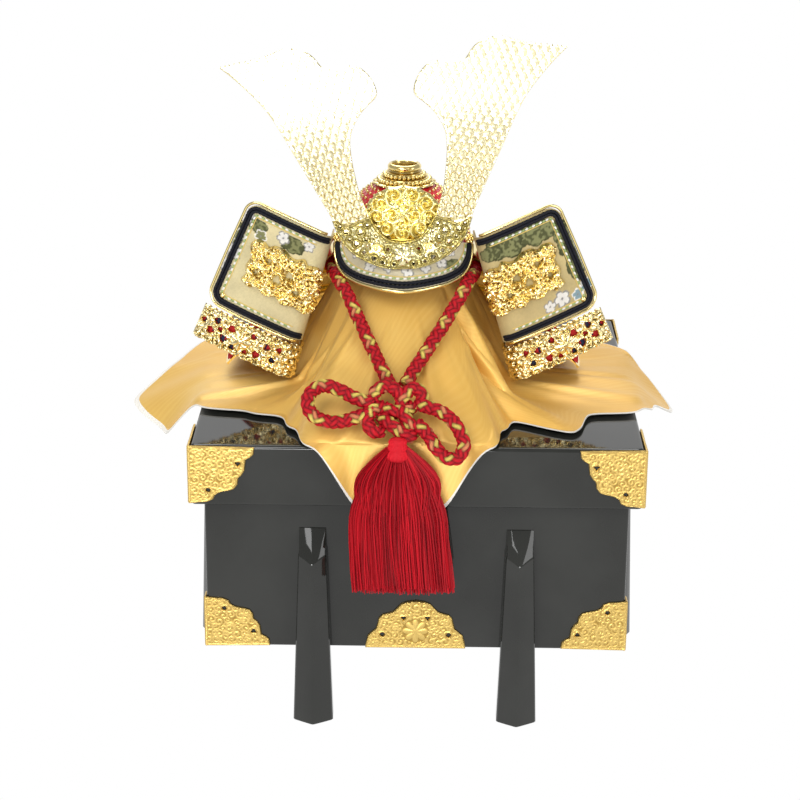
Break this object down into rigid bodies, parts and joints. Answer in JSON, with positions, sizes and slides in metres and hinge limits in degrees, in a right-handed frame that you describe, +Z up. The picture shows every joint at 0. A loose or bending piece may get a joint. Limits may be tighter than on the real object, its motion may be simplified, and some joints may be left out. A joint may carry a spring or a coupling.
{
  "type": "kabuto samurai helmet on a lacquered storage chest with its stand and cloth",
  "caption": "Display samurai helmet with crest blades, turned-back side panels, spreading neck guard and chin cord, standing on a gold cloth over a lacquered storage chest.",
  "frame": {"origin": "On the floor, in the middle of the helmet's width and of the chest's depth", "axes": "+X to the wearer's left, right as seen from the front; +Y towards the back; +Z up"},
  "size_m": [0.4154, 0.333, 0.4859],
  "materials": {
    "black_lacquer": "gloss black lacquer",
    "gilt_fitting": "matte gilt, engraved",
    "bright_gold": "polished gilt",
    "stand_wood": "plain wood",
    "gold_satin": "satin with watered sheen",
    "red_lacquer": "gloss red lacquer",
    "brocade": "brocade",
    "navy_cord": "braid",
    "crimson_cord": "round silk braid"
  },
  "bodies": {
    "root": {"chest_body": "black_lacquer", "chest_lid": "black_lacquer", "leg_front_left": "black_lacquer", "leg_front_right": "black_lacquer", "leg_back_left": "black_lacquer", "leg_back_right": "black_lacquer", "leg_left": "black_lacquer", "leg_right": "black_lacquer", "lid_fitting_front_left": "gilt_fitting", "lid_fitting_front_right": "gilt_fitting", "lid_fitting_back_left": "gilt_fitting", "lid_fitting_back_right": "gilt_fitting", "body_fitting_front_left": "gilt_fitting", "body_fitting_front_right": "gilt_fitting", "body_fitting_back_left": "gilt_fitting", "body_fitting_back_right": "gilt_fitting", "body_fitting_front_centre": "gilt_fitting", "helmet_stand": "stand_wood", "gold_cloth": "gold_satin", "bowl": "red_lacquer", "crown_finial": "bright_gold", "visor_gold_rim": "bright_gold", "crest_base": "bright_gold", "crest_stud_left": "bright_gold", "crest_stud_right": "bright_gold", "crest_blade_left": "bright_gold", "crest_blade_right": "bright_gold", "crest_medallion": "bright_gold", "panel_gold_rim_left": "bright_gold", "panel_gold_rim_right": "bright_gold", "panel_ornament_left": "bright_gold", "panel_ornament_right": "bright_gold", "pierced_band_left": "bright_gold", "pierced_band_right": "bright_gold", "neck_lame_1": "bright_gold", "neck_lame_2": "bright_gold", "neck_lame_3": "bright_gold", "neck_lame_4": "bright_gold", "visor": "brocade", "side_panel_left": "brocade", "side_panel_right": "brocade", "visor_cord_rim": "navy_cord", "panel_cord_rim_left": "navy_cord", "panel_cord_rim_right": "navy_cord", "chin_cord": "crimson_cord", "bow_loop_left": "crimson_cord", "bow_loop_right": "crimson_cord", "cord_knot": "crimson_cord", "tassel": "crimson_cord"}
  },
  "joints": []
}
